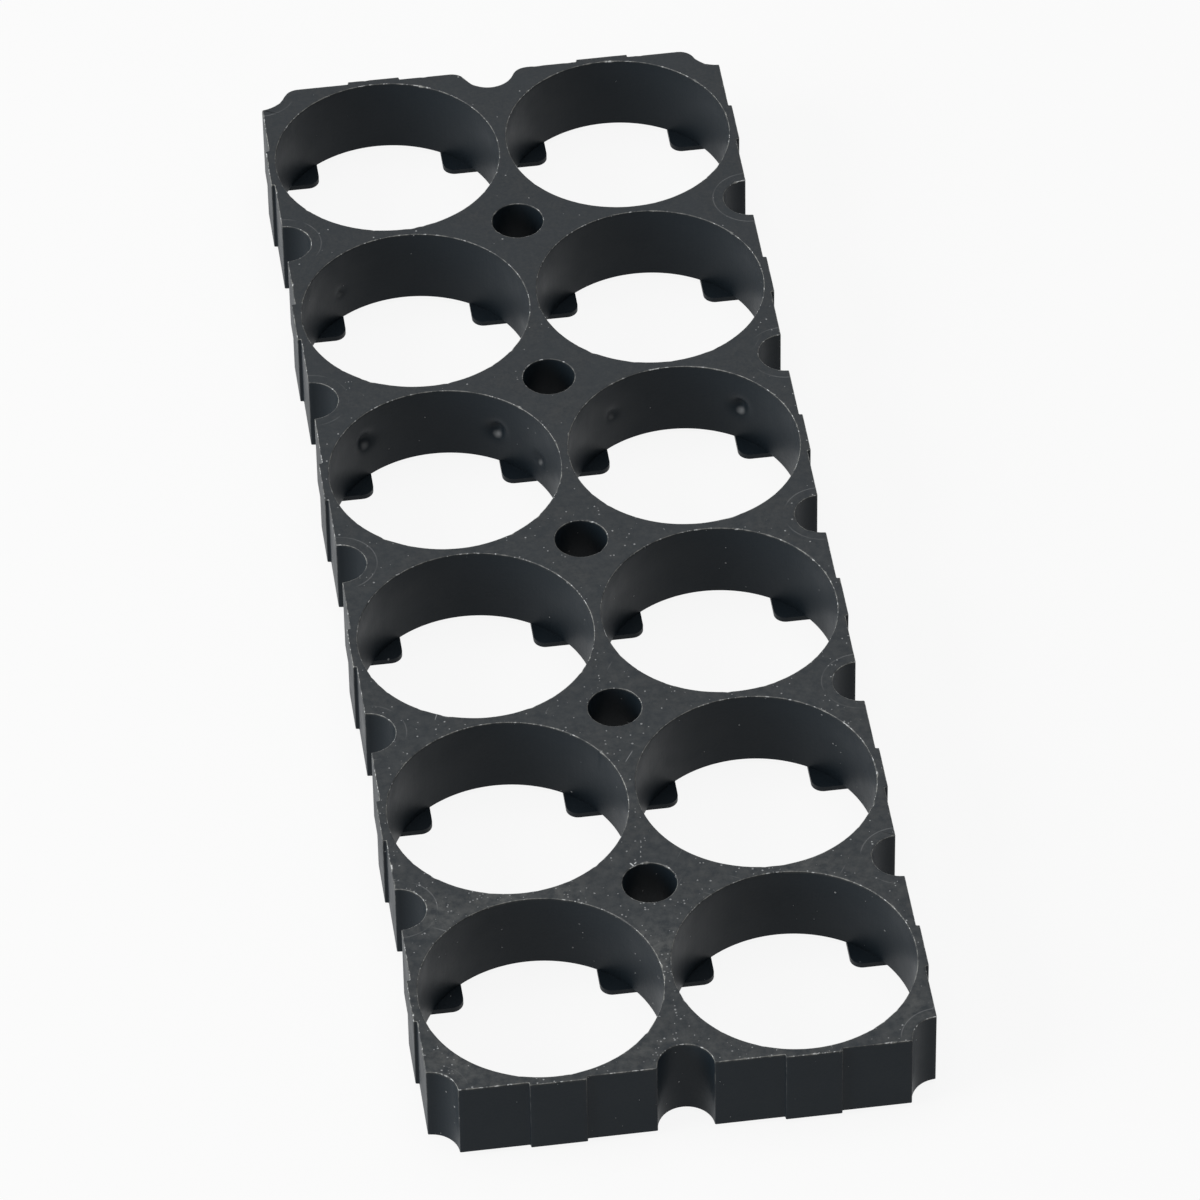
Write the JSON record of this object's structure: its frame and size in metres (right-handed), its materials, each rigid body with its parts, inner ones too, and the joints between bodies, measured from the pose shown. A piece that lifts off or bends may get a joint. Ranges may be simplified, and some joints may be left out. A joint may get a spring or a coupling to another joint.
{
  "type": "battery cell holder bracket",
  "caption": "Moulded plastic grid that holds cylindrical battery cells upright at a fixed spacing, with corner tabs, strip channels and tie rod holes.",
  "frame": {"origin": "centre of the footprint on the plane that the lands rest on", "axes": "+Z towards the side the cells enter from, +Y along the long side, towards the end with rounded notch shoulders, +X across"},
  "size_m": [0.069, 0.205, 0.0128],
  "materials": {
    "moulded_plastic": "fine satin moulding, dark charcoal grey, dusty and lightly scuffed"
  },
  "bodies": {
    "root": {"cell_holder": "moulded_plastic"}
  },
  "joints": []
}
